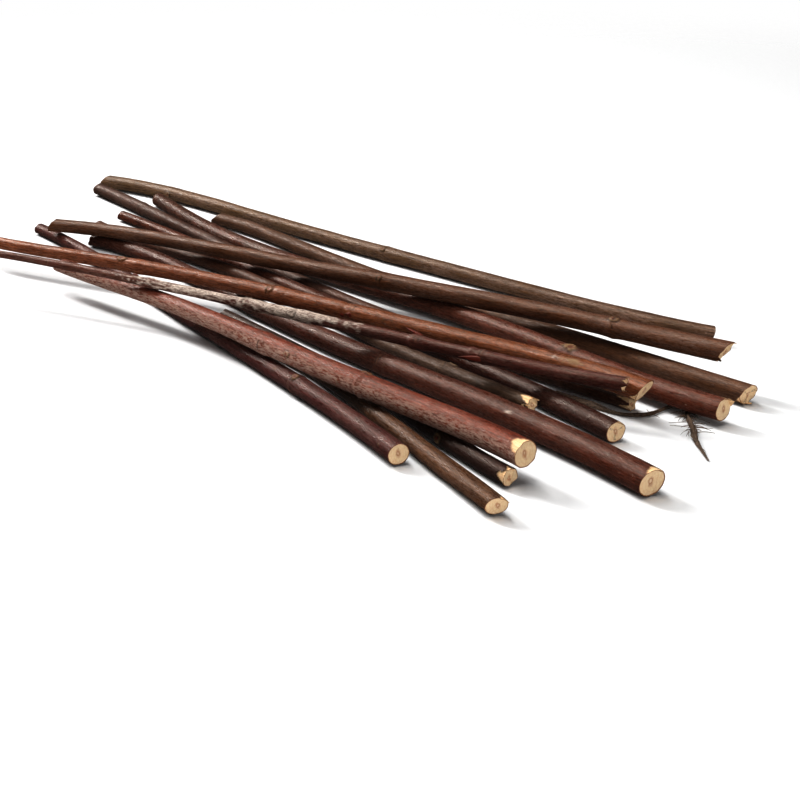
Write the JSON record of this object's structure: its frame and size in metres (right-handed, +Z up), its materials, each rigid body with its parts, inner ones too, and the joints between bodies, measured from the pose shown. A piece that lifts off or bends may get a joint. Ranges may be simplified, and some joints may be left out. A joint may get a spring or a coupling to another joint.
{
  "type": "bundle of twigs",
  "caption": "Loose bundle of cut twigs lying fanned on a surface, most side by side and a few across them, with a dry rootlet under one.",
  "frame": {"origin": "on the surface that the bundle lies on, under the centre of the bundle's box", "axes": "+X along the twigs towards their thick cut ends, +Z up"},
  "size_m": [0.4378, 0.1922, 0.0191],
  "materials": {
    "bark_maroon": "smooth dark maroon bark with a soft gloss",
    "bark_brown": "smooth dark brown bark with a soft gloss",
    "bark_olive": "olive brown bark with fine grain",
    "bark_red": "red bark under a thin grey bloom",
    "bark_orange": "glossy orange brown bark",
    "bark_lichened": "dark purple brown bark under a pale lichen coat",
    "rootlet": "dry fibrous matt root"
  },
  "bodies": {
    "root": {"cracked_end_twig": "bark_olive", "dark_brown_twig": "bark_brown", "dry_rootlet": "rootlet", "front_maroon_twig": "bark_maroon", "grey_bloom_twig": "bark_red", "lichened_twig": "bark_lichened", "long_maroon_twig": "bark_maroon", "long_olive_twig": "bark_olive", "olive_brown_twig": "bark_brown", "orange_twig": "bark_orange", "red_brown_twig": "bark_brown", "short_dark_twig": "bark_maroon", "thickest_twig": "bark_maroon", "torn_brown_twig": "bark_brown", "torn_tan_twig": "bark_olive"}
  },
  "joints": []
}
